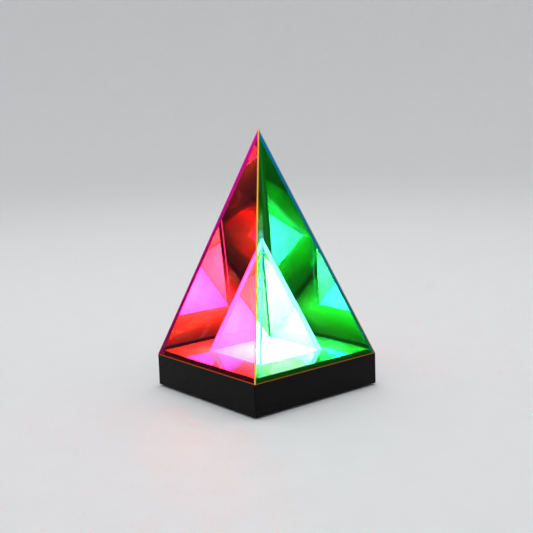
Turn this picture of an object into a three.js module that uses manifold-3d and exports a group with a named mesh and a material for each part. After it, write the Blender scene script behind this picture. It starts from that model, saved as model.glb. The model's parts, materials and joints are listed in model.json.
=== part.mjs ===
// Pyramid prism lamp: a tall four-sided shade of colour-film acrylic stands on a square base box.
// A smaller pyramid of the same sheet stands inside it, over a lit opal window in a mirror plate.
// Millimetres, +Z up, origin at the centre of the base on the plane of the feet, front is -Y.
import * as THREE from "three";
import { mergeVertices } from "three/addons/utils/BufferGeometryUtils.js";
import Module from "manifold-3d";

const wasm = await Module();
wasm.setup();

// ---- Driving dimensions ------------------------------------------------------------------

const BASE_SIDE = 120;
const FOOT_DROP = 1.5; // how far the rubber feet hold the base off the table
const SHOULDER_Z = 25; // top of the base, where the outer shade stands
const PLINTH_RISE = 1.2; // raised square that the outer shade drops over
const WALL = 2.5;
const SEAT_GAP = 0.05; // clearance where two fixed pieces rest on each other
const SLIP_GAP = 0.3; // clearance round a piece that drops into a recess

const SHEET = 2; // acrylic sheet of both shades
const GLUE_GAP = 0.1; // mitre joint between two panels
const FACET = 0.2; // how far the foot of a panel is cut back to an upright land
const BEAD_DEPTH = 0.45; // clear adhesive bead along each slanted edge
const BEAD_FLAT = 0.1; // the bead's rounded-off crest

const OUTER = { half: 59.9, height: 173.6 };
const INNER = { half: 31, height: 89 };

const MIRROR_SIDE = 112.8;
const MIRROR_SHEET = 2;
const WINDOW_SIDE = 57; // square window in the mirror plate
const SEAT_DEPTH = 0.6; // rebate round the window that locates the inner shade

const LIGHT_SIDE = 54; // opening through the base's top wall
const FLANGE_SIDE = 60.4; // diffuser flange, held down by the mirror plate

const COVER_SHEET = 2.5;
const CORNER_BOSS = 51.5;
const LED_POST = 35;
const FOOT_AT = 42;

const SHELL_ROUND = 1.2; // upright corners of the base shell
const INNER_ROUND = 0.6; // corners inside the shell, and of its openings
const SHEET_ROUND = 0.4; // corners of the cut acrylic sheets

const LED_BOARD = { side: 78, z: 10.2, sheet: 1.6, round: 2 };
const LED = { side: 5, height: 1.5, pitch: 15, across: 3 };
const LED_CUP = { floor: 1.7, rim: 2.3, depth: 0.5, over: 0.2 };
const CONTROL_BOARD = { half: 30, front: 40.5, back: 57.1, z: 9, sheet: 1.6, post: 26, postY: 44 };

const BUTTON = { x: -16, z: 12.6, radius: 5, flange: 6.5, dish: 8.5, dishDepth: 1.2 };
const SOCKET = { x: 16, width: 8.94, height: 3.26, wall: 0.3, length: 7.35, sunk: 0.3 };

// ---- Levels worked out from those ---------------------------------------------------------

const COVER_TOP = FOOT_DROP + COVER_SHEET;
const CEILING_Z = SHOULDER_Z - WALL;
const PLINTH_TOP = SHOULDER_Z + PLINTH_RISE;
const MIRROR_TOP = PLINTH_TOP + MIRROR_SHEET;
const LED_BOARD_TOP = LED_BOARD.z + LED_BOARD.sheet;
const CONTROL_TOP = CONTROL_BOARD.z + CONTROL_BOARD.sheet;
const REAR_FACE = BASE_SIDE / 2;
const SOCKET_Z = CONTROL_TOP + SEAT_GAP + SOCKET.height / 2;

const ROUND = 32; // sides of a visible round piece
const COARSE = 16; // sides of a hidden round piece
const FAR = 300; // past the whole lamp, for cutting solids
const CUT = 1; // how far a cutting solid runs past the face it cuts

// ---- Materials -----------------------------------------------------------------------------

function finish(color, roughness, metalness = 0) {
  return new THREE.MeshStandardMaterial({ color, roughness, metalness });
}

function film(color) {
  const material = finish(color, 0.08);
  material.transparent = true;
  material.opacity = 0.5;
  return material;
}

const greenFilm = film(0x22dd88);
const redFilm = film(0xe02860);
const innerGreenFilm = film(0xbff5e4);
const innerRedFilm = film(0xf0a8e0);
const bead = finish(0xff9a3c, 0.25);
const innerBead = finish(0xc8fff0, 0.25);
const blackShell = finish(0x0c0c0d, 0.55);
const mirror = finish(0xd8dcdf, 0.04, 1);
const opal = finish(0xffffff, 0.6);
const whitePlastic = finish(0xf2f2ee, 0.5);
const boardMask = finish(0x14402a, 0.45);
const whiteMask = finish(0xeeeeea, 0.45);
const phosphor = finish(0xf4e9b0, 0.5);
const chipBlack = finish(0x18181a, 0.5);
const steel = finish(0xb9bcc0, 0.3, 1);
const redWire = finish(0xb3161b, 0.45);
const blackWire = finish(0x17171a, 0.45);
const rubber = finish(0x1b1b1c, 0.85);

// ---- Solids --------------------------------------------------------------------------------

function solidOf(geometry) {
  geometry.deleteAttribute("normal");
  geometry.deleteAttribute("uv");
  const merged = mergeVertices(geometry, 1e-4);
  return new wasm.Manifold(
    new wasm.Mesh({
      numProp: 3,
      vertProperties: merged.attributes.position.array,
      triVerts: new Uint32Array(merged.index.array),
    }),
  );
}

function geometryOf(solid) {
  const mesh = solid.getMesh();
  const geometry = new THREE.BufferGeometry();
  geometry.setAttribute("position", new THREE.BufferAttribute(mesh.vertProperties, 3));
  geometry.setIndex(new THREE.BufferAttribute(mesh.triVerts, 1));
  geometry.computeVertexNormals();
  return geometry;
}

// A block between two opposite corners.
function block(low, high) {
  const [x, y, z] = low.map((value, i) => high[i] - value);
  const geometry = new THREE.BoxGeometry(x, y, z);
  geometry.translate(low[0] + x / 2, low[1] + y / 2, low[2] + z / 2);
  return geometry;
}

// A square outline with round corners, centred on the origin.
function squareShape(side, radius) {
  const half = side / 2;
  const inset = half - radius;
  const shape = new THREE.Shape();
  shape.absarc(inset, inset, radius, 0, Math.PI / 2);
  shape.absarc(-inset, inset, radius, Math.PI / 2, Math.PI);
  shape.absarc(-inset, -inset, radius, Math.PI, Math.PI * 1.5);
  shape.absarc(inset, -inset, radius, Math.PI * 1.5, Math.PI * 2);
  return shape;
}

// A slot outline with half-round ends, its long way along X.
function slotShape(width, height) {
  const radius = height / 2;
  const reach = width / 2 - radius;
  const shape = new THREE.Shape();
  shape.absarc(reach, 0, radius, -Math.PI / 2, Math.PI / 2);
  shape.absarc(-reach, 0, radius, Math.PI / 2, Math.PI * 1.5);
  return shape;
}

// An outline made solid from z0 up to z1.
function prism(shape, z0, z1) {
  const settings = { depth: z1 - z0, bevelEnabled: false, curveSegments: 4 };
  const geometry = new THREE.ExtrudeGeometry(shape, settings);
  geometry.translate(0, 0, z0);
  return geometry;
}

function roundedSlab(side, radius, z0, z1) {
  return prism(squareShape(side, radius), z0, z1);
}

// An upright cylinder at x, y.
function column(radius, z0, z1, x = 0, y = 0, sides = COARSE) {
  const geometry = new THREE.CylinderGeometry(radius, radius, z1 - z0, sides);
  geometry.rotateX(Math.PI / 2);
  geometry.translate(x, y, (z0 + z1) / 2);
  return geometry;
}

// Turns a geometry made along +Z so that it points along +Y.
function facingBack(geometry) {
  geometry.rotateX(-Math.PI / 2);
  return geometry;
}

// A solid of revolution about Z; the profile is a list of [radius, z].
function turned(profile, sides) {
  const geometry = new THREE.LatheGeometry(
    profile.map(([radius, z]) => new THREE.Vector2(radius, z)),
    sides,
  );
  geometry.rotateX(Math.PI / 2);
  return geometry;
}

// A square pyramid with its foot centred on the origin.
function pyramid(half, height) {
  const geometry = new THREE.ConeGeometry(half * Math.SQRT2, height, 4);
  geometry.rotateX(Math.PI / 2);
  geometry.rotateZ(Math.PI / 4);
  geometry.translate(0, 0, height / 2);
  return geometry;
}

// The four corners of a square, as [x, y, name], going round from the front left.
function corners(reach) {
  return [
    [-reach, -reach, "front_left"],
    [reach, -reach, "front_right"],
    [reach, reach, "back_right"],
    [-reach, reach, "back_left"],
  ];
}

// ---- The scene graph ------------------------------------------------------------------------

const lamp = new THREE.Group();
const outerShade = new THREE.Group();
const innerShade = new THREE.Group();
const base = new THREE.Group();
lamp.add(outerShade, innerShade, base);

function place(group, name, geometry, material, x = 0, y = 0, z = 0) {
  const mesh = new THREE.Mesh(geometry, material);
  mesh.name = name;
  mesh.position.set(x, y, z);
  group.add(mesh);
  return mesh;
}

// ---- Shades: four flat triangular panels and four adhesive beads each ------------------------

// A slab lying along the slanted front-left edge, from one distance to another outside the edge.
function edgeSlab({ half, height }, from, to) {
  const along = new THREE.Vector3(half, half, height);
  const length = along.length();
  along.normalize();
  const across = new THREE.Vector3(1, -1, 0).normalize();
  const outward = across.clone().cross(along);
  const geometry = new THREE.BoxGeometry(FAR, 2 * length, to - from);
  const middle = new THREE.Vector3(-half / 2, -half / 2, height / 2);
  middle.addScaledVector(outward, (from + to) / 2);
  geometry.applyMatrix4(new THREE.Matrix4().makeBasis(across, along, outward).setPosition(middle));
  return geometry;
}

// The hollow pyramid that all four panels of a shade are cut from.
function shadeShell({ half, height }) {
  const slope = Math.atan2(height, half);
  const level = SHEET / Math.sin(slope);
  const scale = (half - level) / half;
  const reach = CUT / height;
  const hollow = pyramid(half * (scale + reach), height * (scale + reach));
  hollow.translate(0, 0, -CUT);
  const land = half - FACET;
  const clip = block([-land, -land, -CUT], [land, land, FAR]);
  return solidOf(pyramid(half, height)).subtract(solidOf(hollow)).intersect(solidOf(clip));
}

// The front panel: the shell's front sector, with its two slanted edges cut back for the beads.
function frontPanel(shade) {
  const start = GLUE_GAP / Math.SQRT2;
  const sector = new THREE.Shape();
  sector.moveTo(0, -start);
  sector.lineTo(-FAR, -FAR - start);
  sector.lineTo(FAR, -FAR - start);
  const leftCut = edgeSlab(shade, -BEAD_DEPTH - GLUE_GAP / 2, FAR);
  const rightCut = leftCut.clone();
  rightCut.rotateZ(Math.PI / 2);
  return shadeShell(shade)
    .intersect(solidOf(prism(sector, -CUT, FAR)))
    .subtract(solidOf(leftCut))
    .subtract(solidOf(rightCut));
}

// The front-left bead: the corner of the pyramid that the two panels leave open.
function frontLeftBead(shade) {
  const land = shade.half - FACET;
  const quarter = block([-land, -land, -CUT], [-GLUE_GAP / 2, -GLUE_GAP / 2, FAR]);
  return solidOf(pyramid(shade.half, shade.height))
    .intersect(solidOf(edgeSlab(shade, -BEAD_DEPTH, -BEAD_FLAT)))
    .intersect(solidOf(quarter));
}

function buildShade(group, prefix, shade, films, beadMaterial) {
  const panel = geometryOf(frontPanel(shade));
  const edge = geometryOf(frontLeftBead(shade));
  ["front", "right", "back", "left"].forEach((side, turn) => {
    const mesh = place(group, `${prefix}_panel_${side}`, panel.clone(), films[turn]);
    mesh.rotation.z = (turn * Math.PI) / 2;
  });
  corners(1).forEach(([, , corner], turn) => {
    const mesh = place(group, `${prefix}_bead_${corner}`, edge.clone(), beadMaterial);
    mesh.rotation.z = (turn * Math.PI) / 2;
  });
}

const outerFilms = [greenFilm, redFilm, greenFilm, redFilm];
buildShade(outerShade, "outer", OUTER, outerFilms, bead);
outerShade.position.z = SHOULDER_Z + SEAT_GAP;
const innerFilms = [innerGreenFilm, innerRedFilm, innerGreenFilm, innerRedFilm];
buildShade(innerShade, "inner", INNER, innerFilms, innerBead);
innerShade.position.z = MIRROR_TOP - SEAT_DEPTH + SEAT_GAP;

// ---- Base shell --------------------------------------------------------------------------------

const COVER_BOSS_RADIUS = 3.75;
const BOARD_POST_RADIUS = 3;
const BOARD_SCREW_HOLE = 1.35;
const COVER_SCREW_HOLE = 1.6;
const HOLE_ROOF = 2; // solid left above a screw hole, below the ceiling
const SOCKET_MARGIN = 0.7;
const BUTTON_CLEARANCE = 0.25;

function baseHousing() {
  const inside = BASE_SIDE - 2 * WALL;
  const plinthSide = MIRROR_SIDE + 2 * SLIP_GAP;
  const socketHole = slotShape(SOCKET.width + SOCKET_MARGIN, SOCKET.height + SOCKET_MARGIN);
  const socketCut = prism(socketHole, 0, 4 * WALL);
  const buttonHole = column(BUTTON.radius + BUTTON_CLEARANCE, 0, 4 * WALL, 0, 0, ROUND);
  const buttonDish = column(BUTTON.dish, REAR_FACE - BUTTON.dishDepth, FAR, 0, 0, ROUND);
  let shell = solidOf(roundedSlab(BASE_SIDE, SHELL_ROUND, FOOT_DROP, SHOULDER_Z))
    .add(solidOf(roundedSlab(plinthSide, INNER_ROUND, CEILING_Z + CUT, PLINTH_TOP)))
    .subtract(solidOf(roundedSlab(inside, INNER_ROUND, FOOT_DROP - CUT, CEILING_Z)))
    .subtract(solidOf(roundedSlab(FLANGE_SIDE + 2 * SLIP_GAP, INNER_ROUND, SHOULDER_Z, FAR)))
    .subtract(solidOf(roundedSlab(LIGHT_SIDE, INNER_ROUND, CEILING_Z - CUT, FAR)))
    .subtract(solidOf(facingBack(socketCut).translate(SOCKET.x, inside / 2 - CUT, SOCKET_Z)))
    .subtract(solidOf(facingBack(buttonHole).translate(BUTTON.x, inside / 2 - CUT, BUTTON.z)))
    .subtract(solidOf(facingBack(buttonDish).translate(BUTTON.x, 0, BUTTON.z)));
  const posts = [
    ...corners(CORNER_BOSS).map(([x, y]) => [x, y, COVER_TOP, COVER_BOSS_RADIUS, COVER_SCREW_HOLE]),
    ...corners(LED_POST).map(([x, y]) => [x, y, LED_BOARD_TOP, BOARD_POST_RADIUS, BOARD_SCREW_HOLE]),
    ...[-1, 1].map((side) => [
      side * CONTROL_BOARD.post,
      CONTROL_BOARD.postY,
      CONTROL_TOP,
      BOARD_POST_RADIUS,
      BOARD_SCREW_HOLE,
    ]),
  ];
  for (const [x, y, z, radius, hole] of posts) {
    shell = shell
      .add(solidOf(column(radius, z + GLUE_GAP, CEILING_Z + CUT, x, y)))
      .subtract(solidOf(column(hole, z - CUT, CEILING_Z - HOLE_ROOF, x, y)));
  }
  return geometryOf(shell);
}

const COVER_SCREW = { head: 2.8, headHeight: 1.2, shank: 1.5, length: 13 };
const BOARD_SCREW = { head: 2.3, headHeight: 1.4, shank: 1.25, length: 8 };
const COUNTERBORE = { radius: 3.1, top: FOOT_DROP + 1.5, throat: 1.75 };
const FOOT = { radius: 6, recess: 1, height: 2.5, chamfer: 0.6 };

function bottomCover() {
  const side = BASE_SIDE - 2 * WALL - 2 * SLIP_GAP;
  let cover = solidOf(roundedSlab(side, INNER_ROUND, FOOT_DROP, COVER_TOP));
  for (const [x, y] of corners(CORNER_BOSS)) {
    cover = cover
      .subtract(solidOf(column(COUNTERBORE.radius, 0, COUNTERBORE.top, x, y, ROUND)))
      .subtract(solidOf(column(COUNTERBORE.throat, 0, COVER_TOP + CUT, x, y)));
  }
  for (const [x, y] of corners(FOOT_AT)) {
    const recess = column(FOOT.radius + SLIP_GAP, 0, FOOT_DROP + FOOT.recess, x, y, ROUND);
    cover = cover.subtract(solidOf(recess));
  }
  return geometryOf(cover);
}

// A pan-head screw pointing up, with its head's underside at z = 0 and a cross recess in the head.
function screw({ head, headHeight, shank, length }) {
  const crown = { radius: head * 0.72, rim: -headHeight * 0.55 };
  const tip = { radius: shank * 0.35, length: 1 };
  const profile = [
    [0, -headHeight],
    [crown.radius, -headHeight],
    [head, crown.rim],
    [head, 0],
    [shank, 0],
    [shank, length - tip.length],
    [tip.radius, length],
    [0, length],
  ];
  const reach = head * 0.62;
  const slot = head * 0.13;
  const floor = -headHeight * 0.4;
  return geometryOf(
    solidOf(turned(profile, COARSE))
      .subtract(solidOf(block([-reach, -slot, -2 * headHeight], [reach, slot, floor])))
      .subtract(solidOf(block([-slot, -reach, -2 * headHeight], [slot, reach, floor]))),
  );
}

const footProfile = [
  [0, 0],
  [FOOT.radius - FOOT.chamfer, 0],
  [FOOT.radius, FOOT.chamfer],
  [FOOT.radius, FOOT.height - SEAT_GAP],
  [0, FOOT.height - SEAT_GAP],
];

place(base, "base_housing", baseHousing(), blackShell);
place(base, "bottom_cover", bottomCover(), blackShell);
for (const [x, y, corner] of corners(FOOT_AT)) {
  place(base, `foot_${corner}`, turned(footProfile, ROUND), rubber, x, y);
}
for (const [x, y, corner] of corners(CORNER_BOSS)) {
  const seat = COUNTERBORE.top - SEAT_GAP;
  place(base, `cover_screw_${corner}`, screw(COVER_SCREW), steel, x, y, seat);
}

// ---- Mirror plate, diffuser and light well -------------------------------------------------------

function mirrorPlate() {
  const seatSide = 2 * (INNER.half + SLIP_GAP);
  return geometryOf(
    solidOf(roundedSlab(MIRROR_SIDE, SHEET_ROUND, PLINTH_TOP + SEAT_GAP, MIRROR_TOP))
      .subtract(solidOf(roundedSlab(WINDOW_SIDE, SHEET_ROUND, 0, FAR)))
      .subtract(solidOf(roundedSlab(seatSide, SHEET_ROUND, MIRROR_TOP - SEAT_DEPTH, FAR))),
  );
}

function diffuser() {
  const boss = WINDOW_SIDE - 2 * SLIP_GAP;
  return geometryOf(
    solidOf(roundedSlab(FLANGE_SIDE, SHEET_ROUND, SHOULDER_Z + SEAT_GAP, PLINTH_TOP)).add(
      solidOf(roundedSlab(boss, SHEET_ROUND, SHOULDER_Z + CUT / 2, MIRROR_TOP)),
    ),
  );
}

const WELL_SIDE = 60;
const WELL_ROUND = 0.8;
const WELL_FLOOR_HALF = 24;
const WELL_MOUTH_HALF = 28.4;

// A white moulded funnel that gathers the light under the diffuser.
function lightWell() {
  const floor = LED_BOARD_TOP + SEAT_GAP;
  const top = CEILING_Z - SEAT_GAP;
  const spread = (WELL_MOUTH_HALF - WELL_FLOOR_HALF) / (top - floor);
  const mouth = (WELL_MOUTH_HALF + spread * CUT) * Math.SQRT2;
  const throat = (WELL_FLOOR_HALF - spread * CUT) * Math.SQRT2;
  const funnel = new THREE.CylinderGeometry(mouth, throat, top - floor + 2 * CUT, 4);
  funnel.rotateX(Math.PI / 2);
  funnel.rotateZ(Math.PI / 4);
  funnel.translate(0, 0, (top + floor) / 2);
  const slab = solidOf(roundedSlab(WELL_SIDE, WELL_ROUND, floor, top));
  return geometryOf(slab.subtract(solidOf(funnel)));
}

place(base, "mirror_plate", mirrorPlate(), mirror);
place(base, "diffuser", diffuser(), opal);
place(base, "light_well", lightWell(), whitePlastic);

// ---- LED board --------------------------------------------------------------------------------------

const BOARD_HOLE = 1.6; // radius of a board's screw hole

function ledBoard() {
  let board = solidOf(roundedSlab(LED_BOARD.side, LED_BOARD.round, LED_BOARD.z, LED_BOARD_TOP));
  for (const [x, y] of corners(LED_POST)) {
    board = board.subtract(solidOf(column(BOARD_HOLE, 0, FAR, x, y)));
  }
  return geometryOf(board);
}

// A square surface-mount package with a round cup of phosphor sunk in its top.
function ledPackage() {
  const half = LED.side / 2;
  const cup = turned(
    [
      [0, LED.height - LED_CUP.depth],
      [LED_CUP.floor, LED.height - LED_CUP.depth],
      [LED_CUP.rim, LED.height + LED_CUP.over],
      [0, LED.height + LED_CUP.over],
    ],
    COARSE,
  );
  return geometryOf(solidOf(block([-half, -half, 0], [half, half, LED.height])).subtract(solidOf(cup)));
}

place(base, "led_board", ledBoard(), whiteMask);
const ledMiddle = (LED.across - 1) / 2;
for (let i = 0; i < LED.across ** 2; i += 1) {
  const x = ((i % LED.across) - ledMiddle) * LED.pitch;
  const y = (Math.floor(i / LED.across) - ledMiddle) * LED.pitch;
  place(base, `led_${i + 1}`, ledPackage(), phosphor, x, y, LED_BOARD_TOP + SEAT_GAP);
}
for (const [x, y, corner] of corners(LED_POST)) {
  place(base, `led_screw_${corner}`, screw(BOARD_SCREW), steel, x, y, LED_BOARD.z - SEAT_GAP);
}

// ---- Control board: socket, switch and driver --------------------------------------------------------

const NOTCH_HALF = 7.4;
const NOTCH_FRONT = 50.4;

function controlBoard() {
  const { half, front, back, z, post, postY } = CONTROL_BOARD;
  let board = solidOf(block([-half, front, z], [half, back, CONTROL_TOP]));
  const notch = block([BUTTON.x - NOTCH_HALF, NOTCH_FRONT, 0], [BUTTON.x + NOTCH_HALF, FAR, FAR]);
  board = board.subtract(solidOf(notch));
  for (const x of [-post, post]) {
    board = board.subtract(solidOf(column(BOARD_HOLE, 0, FAR, x, postY)));
  }
  return geometryOf(board);
}

const CAN_FLOOR = 0.5;
const TONGUE = { half: 3.35, thick: 0.7, root: 1, tip: 6.4, plugStart: 0.6, plugEnd: 2, gap: 0.1 };

// The metal shell of the power socket: a slot-shaped can, open at the back of the lamp.
function socketShell() {
  const { width, height, wall, length } = SOCKET;
  const can = solidOf(prism(slotShape(width, height), 0, length));
  const hollow = solidOf(prism(slotShape(width - 2 * wall, height - 2 * wall), CAN_FLOOR, length + CUT));
  return facingBack(geometryOf(can.subtract(hollow)));
}

// The plastic insert of the socket: a plug at the floor of the can and the contact tongue.
function socketTongue() {
  const { half, thick, root, tip, plugStart, plugEnd, gap } = TONGUE;
  const inset = 2 * (SOCKET.wall + gap);
  const plug = prism(slotShape(SOCKET.width - inset, SOCKET.height - inset), plugStart, plugEnd);
  const tongue = block([-half, -thick / 2, root], [half, thick / 2, tip]);
  return facingBack(geometryOf(solidOf(plug).add(solidOf(tongue))));
}

const SWITCH = { half: 4.5, front: 41.5, back: 50, height: 4.4, bore: 1.5, boreFloor: 45 };
const PLUNGER = { radius: 1.3, inner: 46.8, outer: 54.3, gap: 0.1 };
const STEM = { radius: 3.4, start: 52.5, boreEnd: 54.5 };
const CAP = { sunk: 0.4, flange: 1.2, dish: 0.4, rim: 0.8, round: 0.4 };

function switchBody() {
  const z0 = CONTROL_TOP + SEAT_GAP;
  const { half, front, back, height, bore, boreFloor } = SWITCH;
  const housing = block([BUTTON.x - half, front, z0], [BUTTON.x + half, back, z0 + height]);
  const hole = facingBack(column(bore, boreFloor, back + CUT)).translate(BUTTON.x, 0, BUTTON.z);
  return geometryOf(solidOf(housing).subtract(solidOf(hole)));
}

// The push button: a dished cap, a flange that the rear wall holds in, and a stem with a blind bore.
function buttonCap() {
  const { radius, flange } = BUTTON;
  const bore = PLUNGER.radius + PLUNGER.gap;
  const face = REAR_FACE - CAP.sunk;
  const stop = REAR_FACE - WALL - SLIP_GAP;
  const profile = [
    [0, STEM.boreEnd],
    [bore, STEM.boreEnd],
    [bore, STEM.start],
    [STEM.radius, STEM.start],
    [STEM.radius, stop - CAP.flange],
    [flange, stop - CAP.flange],
    [flange, stop],
    [radius, stop],
    [radius, face - CAP.round],
    [radius - CAP.round, face],
    [radius - CAP.round - CAP.rim, face],
    [0, face - CAP.dish],
  ];
  return facingBack(turned(profile, ROUND));
}

place(base, "control_board", controlBoard(), boardMask);
for (const side of [-1, 1]) {
  const name = side < 0 ? "control_screw_left" : "control_screw_right";
  const x = side * CONTROL_BOARD.post;
  place(base, name, screw(BOARD_SCREW), steel, x, CONTROL_BOARD.postY, CONTROL_BOARD.z - SEAT_GAP);
}
const socketStart = REAR_FACE - SOCKET.sunk - SOCKET.length;
place(base, "power_socket_shell", socketShell(), steel, SOCKET.x, socketStart, SOCKET_Z);
place(base, "power_socket_tongue", socketTongue(), chipBlack, SOCKET.x, socketStart, SOCKET_Z);
place(base, "switch_body", switchBody(), chipBlack);
const plunger = facingBack(column(PLUNGER.radius, PLUNGER.inner, PLUNGER.outer));
place(base, "switch_plunger", plunger, whitePlastic, BUTTON.x, 0, BUTTON.z);
place(base, "power_button", buttonCap(), blackShell, BUTTON.x, 0, BUTTON.z);

// Driver parts that stand on the control board: middle, and size along X, Y and Z.
const onBoard = CONTROL_TOP + SEAT_GAP;
const DRIVER_CHIP = { x: 7, y: 51.5, size: [5, 4, 1.5] };
const INDUCTOR = { x: 14, y: 45.5, size: [6, 6, 3] };
const WIRE_HEADER = { x: 0, y: 45, size: [8, 5, 5] };
const CAPACITOR = { x: -2, y: 53, radius: 2.5, height: 7 };

function onBoardBlock({ x, y, size: [width, depth, height] }) {
  const low = [x - width / 2, y - depth / 2, onBoard];
  return block(low, [x + width / 2, y + depth / 2, onBoard + height]);
}

function can({ x, y, radius, height }) {
  return column(radius, onBoard, onBoard + height, x, y);
}

place(base, "driver_chip", onBoardBlock(DRIVER_CHIP), chipBlack);
place(base, "inductor", onBoardBlock(INDUCTOR), chipBlack);
place(base, "wire_header", onBoardBlock(WIRE_HEADER), whitePlastic);
place(base, "capacitor", can(CAPACITOR), steel);

// ---- Wires from the header to the LED board ------------------------------------------------------------

const WIRE_RADIUS = 0.75;
const WIRE_STEPS = 18;
const WIRE_PITCH = 3;

// The route in the YZ plane, out of the header and down to the LED board, as [y, z].
const wireRoute = [
  [42.2, onBoard + 2.6],
  [41.4, onBoard + 2.7],
  [40, onBoard + 3.8],
  [38.2, onBoard + 5],
  [36.4, onBoard + 4.9],
  [35.2, onBoard + 3.8],
  [35, onBoard + 2.6],
  [35, LED_BOARD_TOP + 0.2],
];

function wire() {
  const curve = new THREE.CatmullRomCurve3(wireRoute.map(([y, z]) => new THREE.Vector3(0, y, z)));
  const section = new THREE.Shape();
  section.absarc(0, 0, WIRE_RADIUS, 0, Math.PI * 2);
  const settings = { steps: WIRE_STEPS, curveSegments: 8, bevelEnabled: false, extrudePath: curve };
  return new THREE.ExtrudeGeometry(section, settings);
}

place(base, "wire_red", wire(), redWire, -WIRE_PITCH / 2);
place(base, "wire_black", wire(), blackWire, WIRE_PITCH / 2);

export default lamp;
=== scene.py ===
import json
import math

import bmesh
import bpy
from mathutils import Matrix, Vector


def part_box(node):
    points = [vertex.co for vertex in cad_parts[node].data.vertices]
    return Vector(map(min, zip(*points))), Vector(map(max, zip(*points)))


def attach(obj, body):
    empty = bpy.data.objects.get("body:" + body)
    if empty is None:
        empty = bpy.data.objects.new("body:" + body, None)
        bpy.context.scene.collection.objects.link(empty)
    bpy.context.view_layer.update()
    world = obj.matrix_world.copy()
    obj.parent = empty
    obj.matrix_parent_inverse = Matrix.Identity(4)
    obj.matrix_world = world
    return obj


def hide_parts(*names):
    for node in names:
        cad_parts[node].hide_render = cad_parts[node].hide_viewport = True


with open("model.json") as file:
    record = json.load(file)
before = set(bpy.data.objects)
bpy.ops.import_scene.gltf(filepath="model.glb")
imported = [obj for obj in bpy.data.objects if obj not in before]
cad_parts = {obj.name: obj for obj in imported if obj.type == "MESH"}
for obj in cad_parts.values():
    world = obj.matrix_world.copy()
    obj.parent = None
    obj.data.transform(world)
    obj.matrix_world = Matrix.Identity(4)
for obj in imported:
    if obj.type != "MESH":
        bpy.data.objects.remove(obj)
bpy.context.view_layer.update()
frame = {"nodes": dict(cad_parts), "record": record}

# Pyramid prism lamp. Metres, +Z up, front is -Y. Two kinds of colour film make the look: the film on
# the front and back sheets lets green and blue through and mirrors red, and the film on the left and
# right sheets lets red through and mirrors green. Every facet seen inside is an image of the lit
# window that the four mirrors hand on to each other, coloured by the films that it met on the way.

nodes = frame["nodes"]
record = frame["record"]
BODY = {name: body for body, names in record["behaviour"]["bodies"].items() for name in names}
MM = 0.001
SIDES = ("front", "right", "back", "left")
CORNERS = ("front_left", "front_right", "back_right", "back_left")


# ---- Camera: a long lens a little above the shoulder, off the front-left corner ----------------

AZIMUTH = math.radians(-39.62)
ELEVATION = math.radians(10.1)
ROLL = math.radians(-1.81)
DISTANCE = 0.787
LOOK_AT = Vector((0.0021, -0.0018, 0.0935))
LENS = 69.7
SENSOR = 36


def build_camera():
    data = bpy.data.cameras.new("camera")
    data.lens = LENS
    data.sensor_width = SENSOR
    data.clip_start = 10 * MM
    camera = bpy.data.objects.new("camera", data)
    bpy.context.scene.collection.objects.link(camera)
    flat = math.cos(ELEVATION)
    back = Vector((math.sin(AZIMUTH) * flat, -math.cos(AZIMUTH) * flat, math.sin(ELEVATION)))
    right = Vector((0, 0, 1)).cross(back).normalized()
    up = back.cross(right)
    x = right * math.cos(ROLL) + up * math.sin(ROLL)
    y = up * math.cos(ROLL) - right * math.sin(ROLL)
    turn = Matrix((x, y, back)).transposed().to_4x4()
    camera.matrix_world = Matrix.Translation(LOOK_AT + back * DISTANCE) @ turn
    bpy.context.scene.camera = camera


# ---- Meshes ------------------------------------------------------------------------------------

SMOOTH_BELOW = math.radians(35)
FLAT_BELOW = math.radians(1)
WELD_BELOW = 0.001 * MM


def link_piece(name, mesh, materials, smooth=True):
    for material in materials:
        mesh.materials.append(material)
    if smooth:
        mesh.polygons.foreach_set("use_smooth", [True] * len(mesh.polygons))
        mesh.set_sharp_from_angle(angle=SMOOTH_BELOW)
    piece = bpy.data.objects.new(name, mesh)
    bpy.context.scene.collection.objects.link(piece)
    if smooth:
        piece.modifiers.new("normals", "WEIGHTED_NORMAL").keep_sharp = True
    return piece


def piece_from(name, shape, materials):
    bmesh.ops.recalc_face_normals(shape, faces=shape.faces)
    mesh = bpy.data.meshes.new(name)
    shape.to_mesh(mesh)
    shape.free()
    return link_piece(name, mesh, materials)


def round_edges(shape, width):
    sharp = [edge for edge in shape.edges if edge.calc_face_angle(0) > SMOOTH_BELOW]
    bmesh.ops.bevel(
        shape, geom=sharp, offset=width, segments=2, affect="EDGES", profile=0.5,
        clamp_overlap=True,
    )


def refined(name, node_name, width, materials, smooth=True):
    """A clean copy of a CAD node: coplanar triangles joined, and its edges rounded."""
    mesh = nodes[node_name].data.copy()
    mesh.name = name
    mesh.materials.clear()
    shape = bmesh.new()
    shape.from_mesh(mesh)
    bmesh.ops.remove_doubles(shape, verts=shape.verts, dist=WELD_BELOW)
    bmesh.ops.dissolve_limit(
        shape, angle_limit=FLAT_BELOW, verts=shape.verts, edges=shape.edges
    )
    round_edges(shape, width)
    shape.to_mesh(mesh)
    shape.free()
    return link_piece(name, mesh, materials, smooth)


def loft(shape, rings):
    """Joins rings of points, each as long as the last, into a skin; its two ends are capped."""
    made = [[shape.verts.new(point) for point in ring] for ring in rings]
    count = len(rings[0])
    for a, b in zip(made, made[1:]):
        for i in range(count):
            j = (i + 1) % count
            shape.faces.new((a[i], a[j], b[j], b[i]))
    shape.faces.new(made[0])
    shape.faces.new(made[-1])


def circle(radius, place, count=48, across=Vector((1, 0, 0)), up=Vector((0, 1, 0))):
    turn = 2 * math.pi / count
    return [
        place + across * radius * math.cos(i * turn) + up * radius * math.sin(i * turn)
        for i in range(count)
    ]


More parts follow.
